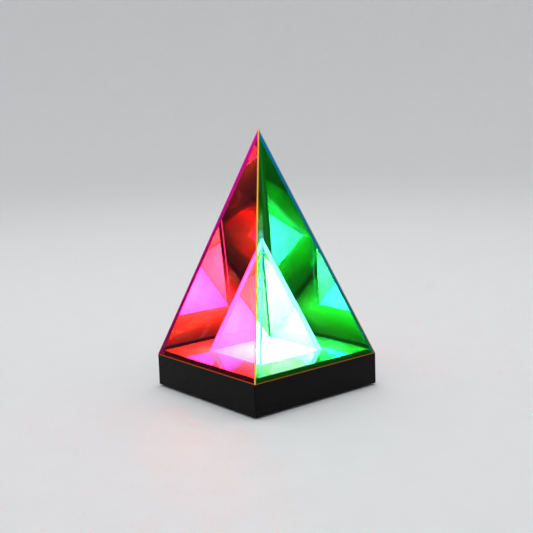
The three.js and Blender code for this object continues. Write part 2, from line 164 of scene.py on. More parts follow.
def lathe(name, profile, place, materials, axis=Vector((0, 0, 1)), count=48):
    """A turned piece; the profile is a list of (radius, distance along the axis)."""
    across = Vector((1, 0, 0))
    up = axis.cross(across)
    shape = bmesh.new()
    loft(shape, [circle(r, place + axis * z, count, across, up) for r, z in profile])
    return piece_from(name, shape, materials)


def slot_ring(width, height, place):
    """A ring round a slot with half-round ends, its long way along X, in a plane facing Y."""
    around_end = 12
    radius = height / 2
    reach = width / 2 - radius
    ring = []
    for side in (1, -1):
        for i in range(around_end):
            angle = math.pi * (i / (around_end - 1) - 0.5)
            x = side * (reach + radius * math.cos(angle))
            ring.append(place + Vector((x, 0, side * radius * math.sin(angle))))
    return ring


def add_box(shape, low, high):
    made = bmesh.ops.create_cube(shape, size=1)
    size = Vector(high) - Vector(low)
    bmesh.ops.scale(shape, vec=size, verts=made["verts"])
    bmesh.ops.translate(shape, vec=Vector(low) + size / 2, verts=made["verts"])


def boxes(name, spans, width, materials):
    """One piece of several small blocks, each from a low to a high corner, with rounded edges."""
    shape = bmesh.new()
    for low, high in spans:
        add_box(shape, low, high)
    round_edges(shape, width)
    return piece_from(name, shape, materials)


def middle_of(node_name):
    low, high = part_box(node_name)
    return (low + high) / 2


def stand_for(piece, node_name):
    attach(piece, BODY[node_name])
    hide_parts(node_name)


def goes_with(piece, node_name):
    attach(piece, BODY[node_name])


# ---- Stage: a round pale sweep under one large soft light --------------------------------------

SWEEP_FLAT = 1.6
SWEEP_TURN = 1.4
SWEEP_WALL = 3.0
SWEEP_HEART = 0.3
SWEEP_AROUND = 96
SWEEP_STEPS = 16
LIGHT_PLACE = (0.1, 0.2, 1.7)
LIGHT_SIZE = 1.4
LIGHT_WATTS = 11
SKY = (0.95, 0.97, 1.0, 1)
SKY_STRENGTH = 0.8


def build_top_light():
    data = bpy.data.lights.new("top_light", "AREA")
    data.shape = "DISK"
    data.size = LIGHT_SIZE
    data.energy = LIGHT_WATTS
    light = bpy.data.objects.new("top_light", data)
    light.location = LIGHT_PLACE
    aim = -Vector(LIGHT_PLACE)
    light.rotation_euler = aim.to_track_quat("-Z", "Y").to_euler()
    bpy.context.scene.collection.objects.link(light)


def sweep_ring(radius, height):
    return circle(radius, Vector((0, 0, height)), SWEEP_AROUND)


def build_sweep():
    """A flat disc that turns up into a round wall, open at the top."""
    shape = bmesh.new()
    rings = [sweep_ring(SWEEP_HEART, 0), sweep_ring(SWEEP_FLAT, 0)]
    for i in range(1, SWEEP_STEPS + 1):
        angle = math.pi / 2 * i / SWEEP_STEPS
        radius = SWEEP_FLAT + SWEEP_TURN * math.sin(angle)
        rings.append(sweep_ring(radius, SWEEP_TURN * (1 - math.cos(angle))))
    rings.append(sweep_ring(SWEEP_FLAT + SWEEP_TURN, SWEEP_WALL))
    loft(shape, rings)
    shape.faces.ensure_lookup_table()
    shape.faces.remove(shape.faces[-1])
    material = textured("sweep_paper", (0.78, 0.78, 0.78), 0.7, 2 * MM, 0, vary=0.01)
    floor = piece_from("floor", shape, [material])


def build_stage():
    scene = bpy.context.scene
    scene.view_settings.view_transform = "Standard"
    scene.cycles.max_bounces = 24
    scene.cycles.glossy_bounces = 16
    scene.cycles.transmission_bounces = 16
    scene.cycles.transparent_max_bounces = 48
    scene.cycles.sample_clamp_indirect = 0
    scene.cycles.blur_glossy = 0
    scene.cycles.caustics_reflective = False
    scene.cycles.caustics_refractive = False
    world = bpy.data.worlds.new("world")
    scene.world = world
    world.use_nodes = True
    background = world.node_tree.nodes["Background"]
    background.inputs["Color"].default_value = SKY
    background.inputs["Strength"].default_value = SKY_STRENGTH
    build_top_light()
    build_sweep()


# ---- Material building blocks ------------------------------------------------------------------

def new_material(name):
    material = bpy.data.materials.new(name)
    material.use_nodes = True
    material.node_tree.nodes.clear()
    material.node_tree.nodes.new("ShaderNodeOutputMaterial")
    return material, material.node_tree


def node(tree, kind, **sockets):
    made = tree.nodes.new(kind)
    for key, value in sockets.items():
        socket = made.inputs[key.replace("_", " ")]
        if isinstance(value, bpy.types.NodeSocket):
            tree.links.new(value, socket)
        else:
            socket.default_value = value
    return made


def show(tree, shader):
    tree.links.new(shader.outputs[0], tree.nodes["Material Output"].inputs["Surface"])


def principled(tree, colour, roughness, metallic=0.0):
    shader = node(tree, "ShaderNodeBsdfPrincipled")
    shader.inputs["Base Color"].default_value = (*colour, 1)
    shader.inputs["Roughness"].default_value = roughness
    shader.inputs["Metallic"].default_value = metallic
    show(tree, shader)
    return shader


def math_node(tree, operation, a, b=None):
    made = tree.nodes.new("ShaderNodeMath")
    made.operation = operation
    for socket, value in zip(made.inputs, (a, b)):
        if isinstance(value, bpy.types.NodeSocket):
            tree.links.new(value, socket)
        elif value is not None:
            socket.default_value = value
    return made.outputs[0]


def remap(tree, value, low, high, to_low=0.0, to_high=1.0):
    made = node(
        tree, "ShaderNodeMapRange", Value=value, From_Min=low, From_Max=high,
        To_Min=to_low, To_Max=to_high,
    )
    return made.outputs[0]


def blend_colours(tree, share, a, b):
    mix = tree.nodes.new("ShaderNodeMixRGB")
    for socket, value in zip(mix.inputs, (share, a, b)):
        if isinstance(value, bpy.types.NodeSocket):
            tree.links.new(value, socket)
        else:
            socket.default_value = (*value, 1)
    return mix.outputs[0]


def add_shaders(tree, a, b):
    both = tree.nodes.new("ShaderNodeAddShader")
    tree.links.new(a.outputs[0], both.inputs[0])
    tree.links.new(b.outputs[0], both.inputs[1])
    return both


def mix_shaders(tree, share, a, b):
    mix = node(tree, "ShaderNodeMixShader", Fac=share)
    tree.links.new(a.outputs[0], mix.inputs[1])
    tree.links.new(b.outputs[0], mix.inputs[2])
    return mix


def own_place(tree, stretch=(1, 1, 1)):
    """The point on the piece itself, so that a pattern moves with its piece."""
    place = tree.nodes.new("ShaderNodeTexCoord").outputs["Object"]
    if stretch == (1, 1, 1):
        return place
    return node(tree, "ShaderNodeMapping", Vector=place, Scale=stretch).outputs[0]


# Most of a noise texture's values lie in this span.
NOISE_SPAN = (0.3, 0.7)
GLOSS_DRIFT = 0.12


def noise(tree, place, grain, detail=2.0):
    made = node(tree, "ShaderNodeTexNoise", Vector=place, Scale=1 / grain, Detail=detail)
    return made.outputs[0]


def textured(name, colour, roughness, grain, depth, metallic=0.0, vary=0.1, stretch=(1, 1, 1)):
    """A surface whose colour and gloss drift a little and whose grain stands up as fine bumps."""
    material, tree = new_material(name)
    shader = principled(tree, colour, roughness, metallic)
    place = own_place(tree, stretch)
    broad = noise(tree, place, 12 * grain, 3)
    dark = tuple(c * (1 - vary) for c in colour)
    light = tuple(min(1.0, c * (1 + vary)) for c in colour)
    tint = blend_colours(tree, remap(tree, broad, *NOISE_SPAN), dark, light)
    tree.links.new(tint, shader.inputs["Base Color"])
    smoother = roughness * (1 - GLOSS_DRIFT)
    rougher = min(1.0, roughness * (1 + GLOSS_DRIFT))
    gloss = remap(tree, broad, *NOISE_SPAN, smoother, rougher)
    tree.links.new(gloss, shader.inputs["Roughness"])
    if depth:
        bump = node(tree, "ShaderNodeBump", Height=noise(tree, place, grain), Distance=depth)
        tree.links.new(bump.outputs[0], shader.inputs["Normal"])
    return material


# ---- Materials ---------------------------------------------------------------------------------

LAMP = 100.0
LAMP_SPREAD = 39 * MM
LAMP_SPOTS = (1.25 * LAMP, 1.55 * LAMP)
WHITE = (1, 1, 1, 1)
# The share of "Facing" at which a film counts as met square on, and as met at a slant.
SQUARE_ON = 0.2
SLANTED = 0.65
# A soft stand-in for the gloss of thin sheet, whose own index would show too much of the pale room.
SHEET_INDEX = 1.15

# What a film does to red, green and blue. "mirror" is the share that its inner side reflects, met
# square on and at a slant. "through" is the share it lets in from outside, and the last is a painted
# glow that stands in for lamp light scattered in the film.
FILM_RED = dict(
    through=(0.90, 0.010, 0.145),
    mirror=((0.005, 0.72, 0.20), (0.13, 0.34, 0.06)),
    painted_haze=(0.022, 0.0, 0.002),
)
FILM_GREEN = dict(
    through=(0.024, 0.125, 0.20),
    mirror=((0.62, 0.22, 0.15), (0.70, 0.70, 0.75)),
    painted_haze=(0.0, 0.04, 0.001),
)
# The films on the inner shade also let light out, more of some colours square on than at a slant.
INNER_RED = dict(
    through=((0.80, 0.90, 0.60), (0.50, 0.26, 0.86)),
    mirror=((0.98, 0.08, 0.42), (0.17, 0.80, 0.14)),
)
INNER_GREEN = dict(
    through=((0.80, 0.75, 0.86), (0.55, 0.50, 0.45)),
    mirror=((0.90, 0.36, 0.18), (0.98, 0.66, 0.32)),
)


GLOW_PATCH = 9 * MM
GLOW_DRIFT = 0.2
GLOW_CLEAR = (0.002, 0.002, 0.002, 1)
# The mirror plate's own colour, and per channel a painted glow round the window, for diffuser light
# leaking into the plate: how brightly it glows at the window's edge, as a share of the lamp, and how
# far from there the glow falls to a third.
PLATE_COLOUR = (0.20, 0.48, 0.32)
PLATE_GLOW = ((0.07, 9 * MM), (0.20, 10 * MM), (0.012, 6 * MM))


def coloured_mirror(tree, share, mirror):
    tint = blend_colours(tree, share, *mirror)
    return node(tree, "ShaderNodeBsdfGlossy", Color=tint, Roughness=0.0)


def slant_share(tree):
    """Nought where a film is met square on, one where it is met at a slant."""
    angle = node(tree, "ShaderNodeLayerWeight", Blend=0.5)
    return remap(tree, angle.outputs["Facing"], SQUARE_ON, SLANTED)


def glossy_over(tree, shader):
    gloss = node(tree, "ShaderNodeBsdfGlossy", Color=WHITE, Roughness=0.0)
    fresnel = node(tree, "ShaderNodeFresnel", IOR=SHEET_INDEX)
    return mix_shaders(tree, fresnel.outputs[0], shader, gloss)


def film_material(name, through, mirror, painted_haze):
    """A film on the outer face of a sheet: tinted from outside, a coloured mirror from inside."""
    material, tree = new_material(name)
    clear = node(tree, "ShaderNodeBsdfTransparent", Color=(*through, 1))
    # Painted glow: a faint even emission on the film's outside, standing in for scattered lamp light.
    painted_film_glow = node(tree, "ShaderNodeEmission", Color=(*painted_haze, 1), Strength=1.0)
    front = add_shaders(tree, glossy_over(tree, clear), painted_film_glow)
    inner = coloured_mirror(tree, slant_share(tree), mirror)
    side = tree.nodes.new("ShaderNodeNewGeometry")
    show(tree, mix_shaders(tree, side.outputs["Backfacing"], front, inner))
    return material


def lining_material(name, through, mirror):
    """A film on the inner face of a sheet: a coloured mirror from inside, and tinted both ways."""
    material, tree = new_material(name)
    share = slant_share(tree)
    clear = node(tree, "ShaderNodeBsdfTransparent", Color=blend_colours(tree, share, *through))
    both = add_shaders(tree, clear, coloured_mirror(tree, share, mirror))
    side = tree.nodes.new("ShaderNodeNewGeometry")
    show(tree, mix_shaders(tree, side.outputs["Backfacing"], both, clear))
    return material


def clear_material(name, glossy=False):
    """The bare face of a clear sheet; a glossy one shines from outside only."""
    material, tree = new_material(name)
    clear = node(tree, "ShaderNodeBsdfTransparent", Color=WHITE)
    if glossy:
        outside = glossy_over(tree, clear)
        side = tree.nodes.new("ShaderNodeNewGeometry")
        show(tree, mix_shaders(tree, side.outputs["Backfacing"], outside, clear))
    else:
        show(tree, clear)
    return material


def painted_glow_material(name, low_colour, high_colour, z0, z1, strength):
    """Painted glow for adhesive and cut edges that pipe the lamp's light: one colour at its foot,
    another at its top.
    """
    material, tree = new_material(name)
    place = own_place(tree)
    height = node(tree, "ShaderNodeSeparateXYZ", Vector=place).outputs["Z"]
    patchy = remap(tree, noise(tree, place, GLOW_PATCH, 2), *NOISE_SPAN, -GLOW_DRIFT, GLOW_DRIFT)
    rise = math_node(tree, "ADD", remap(tree, height, z0, z1), patchy)
    tint = blend_colours(tree, rise, low_colour, high_colour)
    glow = node(tree, "ShaderNodeEmission", Color=tint, Strength=strength)
    see = node(tree, "ShaderNodeBsdfTransparent", Color=GLOW_CLEAR)
    show(tree, add_shaders(tree, see, glow))
    return material


def depth_in_window(tree):
    """How far a point lies inside the lit window's edge, in metres; below nought outside it."""
    split = node(tree, "ShaderNodeSeparateXYZ", Vector=own_place(tree))
    x = math_node(tree, "ABSOLUTE", split.outputs["X"])
    y = math_node(tree, "ABSOLUTE", split.outputs["Y"])
    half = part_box("diffuser")[1].x
    return math_node(tree, "SUBTRACT", half, math_node(tree, "MAXIMUM", x, y))


def mirror_material():
    """A dark mirror with a painted glow round the lit window; its green glow reaches furthest."""
    material, tree = new_material("mirror_plate")
    inward = depth_in_window(tree)
    channels = []
    for share, reach in PLATE_GLOW:
        fade = math_node(tree, "EXPONENT", math_node(tree, "DIVIDE", inward, reach))
        channels.append(math_node(tree, "MULTIPLY", fade, share))
    glow = node(tree, "ShaderNodeCombineColor", Red=channels[0], Green=channels[1], Blue=channels[2])
    shader = principled(tree, PLATE_COLOUR, 0.0, 1.0)
    tree.links.new(glow.outputs[0], shader.inputs["Emission Color"])
    shader.inputs["Emission Strength"].default_value = LAMP
    return material


def opal_material():
    """Opal acrylic lit from below: brightest in the middle, with a faint spot over each LED."""
    material, tree = new_material("opal")
    shader = principled(tree, (0.9, 0.9, 0.9), 0.35)
    shader.inputs["Emission Color"].default_value = WHITE
    split = node(tree, "ShaderNodeSeparateXYZ", Vector=own_place(tree))
    pitch = (middle_of("led_2") - middle_of("led_1")).x
    waves = []
    squares = []
    for axis in ("X", "Y"):
        turns = math_node(tree, "MULTIPLY", split.outputs[axis], 2 * math.pi / pitch)
        waves.append(math_node(tree, "COSINE", turns))
        squares.append(math_node(tree, "POWER", split.outputs[axis], 2))
    distance = math_node(tree, "ADD", *squares)
    fade = math_node(tree, "EXPONENT", math_node(tree, "DIVIDE", distance, -(LAMP_SPREAD ** 2)))
    spots = remap(tree, math_node(tree, "MULTIPLY", *waves), -1, 1, *LAMP_SPOTS)
    tree.links.new(math_node(tree, "MULTIPLY", fade, spots), shader.inputs["Emission Strength"])
    return material


TRACK_WIDTH = 0.12 * MM
TRACK_HEIGHT = 0.03 * MM
TRACK_RUN = 9


def track_material(name, mask, track, pitch):
    """Solder mask over copper tracks, which stand up a little and show through it."""
    material, tree = new_material(name)
    shader = principled(tree, mask, 0.4)
    brick = node(
        tree, "ShaderNodeTexBrick", Vector=own_place(tree), Color1=(*mask, 1),
        Color2=(*mask, 1), Mortar=(*track, 1), Scale=1.0,
    )
    brick.offset = 0.25
    brick.offset_frequency = 3
    brick.inputs["Mortar Size"].default_value = TRACK_WIDTH
    brick.inputs["Brick Width"].default_value = TRACK_RUN * pitch
    brick.inputs["Row Height"].default_value = pitch
    tree.links.new(brick.outputs["Color"], shader.inputs["Base Color"])
    bump = node(tree, "ShaderNodeBump", Height=brick.outputs["Fac"], Distance=TRACK_HEIGHT)
    tree.links.new(bump.outputs[0], shader.inputs["Normal"])
    return material


# Name: colour, roughness, grain and bump depth in millimetres, share that the colour varies by.
PLAIN_LOOKS = {
    "shell": ((0.0025, 0.0025, 0.0027), 0.5, 0.5, 0.01, 0.3),
    "button": ((0.008, 0.008, 0.009), 0.3, 0.4, 0.003, 0.3),
    "rubber": ((0.016, 0.016, 0.017), 0.8, 0.3, 0.02, 0.3),
    "white": ((0.82, 0.82, 0.79), 0.42, 0.4, 0.006, 0.04),
    "phosphor": ((0.86, 0.66, 0.12), 0.45, 0.15, 0.01, 0.12),
    "chip": ((0.022, 0.022, 0.024), 0.5, 0.12, 0.006, 0.2),
    "ferrite": ((0.05, 0.048, 0.05), 0.6, 0.2, 0.01, 0.25),
    "ceramic": ((0.30, 0.22, 0.14), 0.5, 0.2, 0.004, 0.2),
    "wire_red": ((0.55, 0.016, 0.02), 0.4, 0.3, 0.004, 0.1),
    "wire_black": ((0.014, 0.014, 0.015), 0.4, 0.3, 0.004, 0.2),
}
# The same for bare metals, and how the grain is stretched by the way that the metal was drawn.
METAL_LOOKS = {
    "steel": ((0.56, 0.57, 0.60), 0.32, 0.2, 0.004, 0.12, (1, 1, 1)),
    "can": ((0.72, 0.73, 0.75), 0.25, 0.15, 0.003, 0.08, (1, 1, 6)),
    "plated": ((0.66, 0.66, 0.67), 0.28, 0.15, 0.003, 0.1, (6, 1, 1)),
    "gold": ((0.83, 0.60, 0.22), 0.28, 0.1, 0.002, 0.1, (1, 1, 1)),
    "tin": ((0.62, 0.63, 0.65), 0.3, 0.2, 0.01, 0.15, (1, 1, 1)),
}
MATERIAL_NAMES = {
    "shell": "satin_black", "button": "button_black", "rubber": "foot_rubber",
    "white": "white_plastic", "chip": "chip_black", "steel": "zinc_steel",
    "can": "drawn_aluminium", "plated": "plated_can", "gold": "gold_plate", "tin": "solder_tin",
}
LED_MASK = ((0.78, 0.79, 0.76), (0.70, 0.69, 0.62), 3.75 * MM)
GREEN_MASK = ((0.012, 0.11, 0.05), (0.05, 0.24, 0.10), 1.6 * MM)
SHELL_SPECULAR = 0.1


def make_materials():
    looks = {
        "opal": opal_material(),
        "mirror": mirror_material(),
        "led_mask": track_material("white_mask", *LED_MASK),
        "green_mask": track_material("green_mask", *GREEN_MASK),
    }
    for key, (colour, roughness, grain, depth, vary) in PLAIN_LOOKS.items():
        name = MATERIAL_NAMES.get(key, key)
        looks[key] = textured(name, colour, roughness, grain * MM, depth * MM, 0.0, vary)
    for key, (colour, roughness, grain, depth, vary, stretch) in METAL_LOOKS.items():
        name = MATERIAL_NAMES.get(key, key)
        looks[key] = textured(name, colour, roughness, grain * MM, depth * MM, 1.0, vary, stretch)
    shell = looks["shell"].node_tree.nodes["Principled BSDF"]
    shell.inputs["Specular IOR Level"].default_value = SHELL_SPECULAR
    return looks


# ---- Shades ------------------------------------------------------------------------------------

SHEET_EASE = 0.12 * MM
BEAD_EASE = 0.06 * MM
LAND_TOP = 0.8 * MM
FILLET_GAP = 0.03 * MM
SAME_LEVEL = 0.01 * MM
FILLET_WIDTH = 0.9 * MM
FILLET_STEPS = 5
# The shares of the corner line between which a fillet runs.
FILLET_SPAN = (0.005, 0.96)


def corner_at(place):
    """The index in CORNERS of the corner that a point is nearest to."""
    if place.y < 0:
        return 0 if place.x < 0 else 1
    return 3 if place.x < 0 else 2


def build_shade(prefix, insides, outsides, land, mitres):
    """Four sheets that lean together, mitred where they meet, each with an upright land at its foot."""
    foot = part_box(f"{prefix}_panel_front")[0].z
    for side, inside, outside in zip(SIDES, insides, outsides):
        cad = f"{prefix}_panel_{side}"
        looks = (inside, outside, land, *mitres)
        piece = refined(f"{prefix}_sheet_{side}", cad, SHEET_EASE, looks, smooth=False)
        largest = max(p.area for p in piece.data.polygons)
        for p in piece.data.polygons:
            if p.area > largest / 2:
                p.material_index = 1 if p.normal.z > 0 else 0
            elif p.center.z < foot + LAND_TOP:
                p.material_index = 2
            else:
                p.material_index = 3 + corner_at(p.center)
        stand_for(piece, cad)


def build_beads(prefix, materials):
    """The bead in each slanted seam: its crest, its two glued flanks, and its side inside the shade."""
    for corner, looks in zip(CORNERS, materials):
        cad = f"{prefix}_bead_{corner}"
        piece = refined(f"{prefix}_seam_{corner}", cad, BEAD_EASE, looks)
        largest = max(p.area for p in piece.data.polygons)
        for p in piece.data.polygons:
            if p.normal.z < 0:
                p.material_index = 2
            elif p.area > 0.6 * largest:
                p.material_index = 1
        stand_for(piece, cad)


def seam_looks(name, low_colour, high_colour, z0, z1, strength, inside=0.4):
    """The painted glow of a bead's crest, of its flanks and of its side inside the shade."""
    return [
        painted_glow_material(f"{name}_{part}", low_colour, high_colour, z0, z1, strength * share)
        for part, share in (("crest", 1.0), ("flank", 0.4), ("inside", inside))
    ]


def inside_line(prefix, outward):
    """The foot and the tip of the line where two sheets meet inside a shade, a hair inside them."""
    points = [vertex.co for vertex in nodes[f"{prefix}_panel_back"].data.vertices]
    level = min(p.z for p in points)
    reach = min(p.y for p in points if p.z < level + SAME_LEVEL) - FILLET_GAP
    tip = min(points, key=lambda p: (round(p.y, 5), p.z))
    return outward * reach + Vector((0, 0, level)), Vector((0, 0, tip.z - FILLET_GAP))


def build_fillets(prefix, width, looks):
    """The hollow line of adhesive that is smoothed into each corner inside a shade; it has a painted
    glow.
    """
    for corner, look in zip(CORNERS, looks):
        cad = f"{prefix}_bead_{corner}"
        middle = middle_of(cad)
        outward = Vector((math.copysign(1, middle.x), math.copysign(1, middle.y), 0))
        foot, tip = inside_line(prefix, outward)
        shape = bmesh.new()
        rings = []
        for share in FILLET_SPAN:
            place = foot.lerp(tip, share)
            reach = min(width, abs(place.x) * 0.8)
            heart = place - outward * reach
            ring = [place]
            for i in range(FILLET_STEPS + 1):
                angle = math.pi / 2 * i / FILLET_STEPS
                turn = Vector((outward.x * math.cos(angle), outward.y * math.sin(angle), 0))
                ring.append(heart + turn * reach)
            rings.append(ring)
        loft(shape, rings)
        goes_with(piece_from(f"{prefix}_fillet_{corner}", shape, [look]), cad)


# The colours of the painted glow on glue and cut edges, at the foot and at the tip, corner by corner
# as the photo shows them.
LAND_GLOW = ((0.30, 0.09, 0.012), (0.22, 0.06, 0.008))
MITRE_GLOWS = (
    ("mitre_blue", (0.05, 0.55, 0.38), (0.1, 0.75, 1.3)),
    ("mitre_green", (0.25, 0.9, 0.05), (0.2, 0.8, 0.05)),
    ("mitre_magenta", (0.12, 0.03, 0.25), (0.60, 0.05, 1.5)),
)
SEAM_GLOWS = (
    ("seam_amber", (1.0, 0.36, 0.05), (1.0, 0.45, 0.07)),
    ("seam_tan", (1.0, 0.34, 0.06), (0.20, 0.20, 0.30)),
    ("seam_violet", (0.7, 0.25, 0.05), (0.15, 0.06, 0.5)),
    ("seam_magenta", (0.60, 0.03, 0.16), (0.95, 0.05, 0.34)),
)
INNER_SEAM_GLOW = ((0.9, 1.0, 1.0), (0.5, 1.0, 0.9))
INNER_SEAM_STRENGTH = 0.1 * LAMP
RIM_GLUE_GLOW = ((22.0, 26.0, 8.0), (22.0, 26.0, 8.5))
FILLET_GLOW = ((0.28, 3.2, 1.1), (0.28, 4.0, 1.6))


def build_shades():
    """Painted glow on the inner shade's glue, brightest in the corners at the right and the left of the
    photo.
    """
    green = film_material("film_green", **FILM_GREEN)
    red = film_material("film_red", **FILM_RED)
    inner_green = lining_material("inner_film_green", **INNER_GREEN)
    inner_red = lining_material("inner_film_red", **INNER_RED)
    face = clear_material("sheet_face")
    polished = clear_material("sheet_polished", glossy=True)
    edge = clear_material("sheet_edge")
    foot, top = (corner.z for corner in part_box("outer_bead_front_left"))
    # The outer shade's feet, mitres and seams get painted glow in place of lamp light.
    land = painted_glow_material("sheet_foot", *LAND_GLOW, foot, top, 1.0)
    mitres = [painted_glow_material(name, *glow, foot, top, 1.0) for name, *glow in MITRE_GLOWS]
    build_shade("outer", (face,) * 4, (green, red, green, red), land, (land, *mitres))
    linings = (inner_green, inner_red, inner_green, inner_red)
    low, high = (corner.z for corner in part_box("inner_bead_front_left"))
    bright_rim_glow = painted_glow_material("inner_rim_painted_glow", *RIM_GLUE_GLOW, low, high, 1.0)
    build_shade("inner", linings, (polished,) * 4, edge, (edge, bright_rim_glow, edge, bright_rim_glow))
    build_beads("outer", [seam_looks(name, *glow, foot, top, 1.0) for name, *glow in SEAM_GLOWS])
    glow = (*INNER_SEAM_GLOW, low, high, INNER_SEAM_STRENGTH)
    mint = seam_looks("inner_seam", *glow, 0.03)
    rim = seam_looks("inner_rim", *glow, 1.0)
    build_beads("inner", (mint, rim, mint, rim))
    fillet = painted_glow_material("inner_fillet", *FILLET_GLOW, low, high, 1.0)
    build_fillets("inner", FILLET_WIDTH, (fillet, bright_rim_glow, fillet, bright_rim_glow))


# ---- Base --------------------------------------------------------------------------------------

def build_mirror_plate(looks):
    """The mirror is the top face; the saw-cut edge of the plate is painted black."""
    faces = (looks["mirror"], looks["shell"])
    piece = refined("floor_mirror", "mirror_plate", SHEET_EASE, faces, smooth=False)
    for p in piece.data.polygons:
        p.material_index = 0 if p.normal.z > 0.9 else 1
    stand_for(piece, "mirror_plate")


# The start of a CAD name, the look of its piece, and how far its edges are rounded, in millimetres.
PLAIN_PARTS = (
    ("base_housing", "shell", 0.25),
    ("bottom_cover", "shell", 0.2),
    ("diffuser", "opal", 0.15),
    ("light_well", "white", 0.3),
    ("led_board", "led_mask", 0.08),
    ("control_board", "green_mask", 0.08),
    ("cover_screw", "steel", 0.08),
    ("led_screw", "steel", 0.08),
    ("control_screw", "steel", 0.08),
    ("switch_body", "chip", 0.2),
    ("switch_plunger", "white", 0.15),
    ("driver_chip", "chip", 0.15),
    ("wire_header", "white", 0.25),
)


def build_plain_parts(looks):
    """Parts whose CAD shape is right: the same shape with its edges rounded."""
    for start, look, width in PLAIN_PARTS:
        for name in nodes:
            if name.startswith(start):
                stand_for(refined(f"{name}_piece", name, width * MM, [looks[look]]), name)


# ---- Feet, button and power socket -------------------------------------------------------------

BACKWARD = Vector((0, 1, 0))


def in_mm(*points):
    return [(r * MM, z * MM) for r, z in points]


def build_feet(looks):
    """Rubber feet with a hollow underside, a soft lower rim and a flat top."""
    profile = in_mm(
        (1.2, 0.5), (3.4, 0.45), (3.9, 0.12), (4.2, 0.0), (5.3, 0.0), (5.72, 0.14), (5.95, 0.45),
        (6.0, 0.8), (6.0, 2.3), (5.9, 2.45), (1.2, 2.45),
    )
    for corner in CORNERS:
        cad = f"foot_{corner}"
        place = middle_of(cad)
        place.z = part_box(cad)[0].z
        stand_for(lathe(f"{cad}_rubber", profile, place, [looks["rubber"]]), cad)


def build_button(looks):
    """The cap: dished face, rounded rim, the flange behind the wall, and a bored stem."""
    place = middle_of("power_button")
    place.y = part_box("power_button")[1].y
    profile = in_mm(
        (0.3, -5.1), (1.4, -5.1), (1.4, -7.1), (3.3, -7.1), (3.4, -7.0), (3.4, -3.6), (6.35, -3.6),
        (6.5, -3.45), (6.5, -2.55), (6.35, -2.4), (5.0, -2.4), (5.0, -0.4), (4.9, -0.15), (4.6, 0.0),
        (4.1, 0.0), (3.85, -0.06), (3.5, -0.16), (2.6, -0.27), (1.4, -0.36), (0.3, -0.4),
    )
    cap = lathe("power_button_cap", profile, place, [looks["button"]], BACKWARD, 64)
    stand_for(cap, "power_button")


# The steel can as rings, in millimetres: how far each is let in from the CAD shell's outside, and how
# far it lies from the shell's blind end (floor) or from its mouth.
CAN_FLOOR_RING = (0.30, 0.5)
CAN_MOUTH_RINGS = ((0.30, 0.2), (0.26, 0.05), (0.15, 0.0), (0.04, 0.05), (0.0, 0.2))
CAN_BACK_RINGS = ((0.0, 0.15), (0.12, 0.0))
PLUG_RINGS = ((0.15, 0.0), (0.0, 0.15), (0.0, 1.25), (0.15, 1.4))
BLADE_HALF = 3.35 * MM
BLADE_HALF_THICK = 0.35 * MM
CONTACTS = 12
CONTACT_PITCH = 0.5 * MM
CONTACT_HALF = 0.13 * MM


def build_can(looks):
    """A drawn steel can with a closed back and a rolled mouth."""
    low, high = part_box("power_socket_shell")
    middle = (low + high) / 2
    inset, depth = CAN_FLOOR_RING
    levels = [(inset, low.y + depth * MM)]
    levels += [(inset, high.y - depth * MM) for inset, depth in CAN_MOUTH_RINGS]
    levels += [(inset, low.y + depth * MM) for inset, depth in CAN_BACK_RINGS]
    rings = []
    for inset, y in levels:
        cut = 2 * inset * MM
        place = Vector((middle.x, y, middle.z))
        rings.append(slot_ring(high.x - low.x - cut, high.z - low.z - cut, place))
    shape = bmesh.new()
    loft(shape, rings)
    stand_for(piece_from("power_socket_can", shape, [looks["plated"]]), "power_socket_shell")


def build_tongue(looks):
    """The plug that fills the can's back, the blade that stands out of it, and its contacts."""
    low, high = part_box("power_socket_tongue")
    middle = middle_of("power_socket_shell")
    rings = []
    for inset, y in PLUG_RINGS:
        cut = 2 * inset * MM
        place = Vector((middle.x, low.y + y * MM, middle.z))
        rings.append(slot_ring(high.x - low.x - cut, high.z - low.z - cut, place))
    shape = bmesh.new()
    loft(shape, rings)
    stand_for(piece_from("power_socket_plug", shape, [looks["chip"]]), "power_socket_tongue")

    blade = bmesh.new()
    add_box(
        blade, (middle.x - BLADE_HALF, low.y + 1 * MM, middle.z - BLADE_HALF_THICK),
        (middle.x + BLADE_HALF, high.y, middle.z + BLADE_HALF_THICK),
    )
    round_edges(blade, 0.12 * MM)
    goes_with(piece_from("power_socket_blade", blade, [looks["chip"]]), "power_socket_tongue")

    strips = []
    back = high.y - 3.6 * MM
    front = high.y - 0.5 * MM
    sunk = BLADE_HALF_THICK * 0.9
    proud = BLADE_HALF_THICK + 0.03 * MM
    for i in range(CONTACTS):
        x = middle.x + (i - (CONTACTS - 1) / 2) * CONTACT_PITCH
        for side in (-1, 1):
            z = sorted((middle.z + side * sunk, middle.z + side * proud))
            strips.append(((x - CONTACT_HALF, back, z[0]), (x + CONTACT_HALF, front, z[1])))
    contacts = boxes("power_socket_contacts", strips, 0.01 * MM, [looks["gold"]])
    goes_with(contacts, "power_socket_tongue")


def build_tabs(looks):
    """The tabs that hold the can down on the control board."""
    low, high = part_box("power_socket_shell")
    middle = (low + high) / 2
    tabs = []
    half = (high.x - low.x) / 2
    for side in (-1, 1):
        x = sorted((middle.x + side * (half - 0.05 * MM), middle.x + side * (half + 0.2 * MM)))
        for y in (low.y + 1.2 * MM, low.y + 3.4 * MM):
            tabs.append(((x[0], y, low.z - 0.05 * MM), (x[1], y + 1.1 * MM, middle.z)))
    goes_with(boxes("power_socket_tabs", tabs, 0.06 * MM, [looks["plated"]]), "power_socket_shell")


# ---- LED board, wires and screws ---------------------------------------------------------------

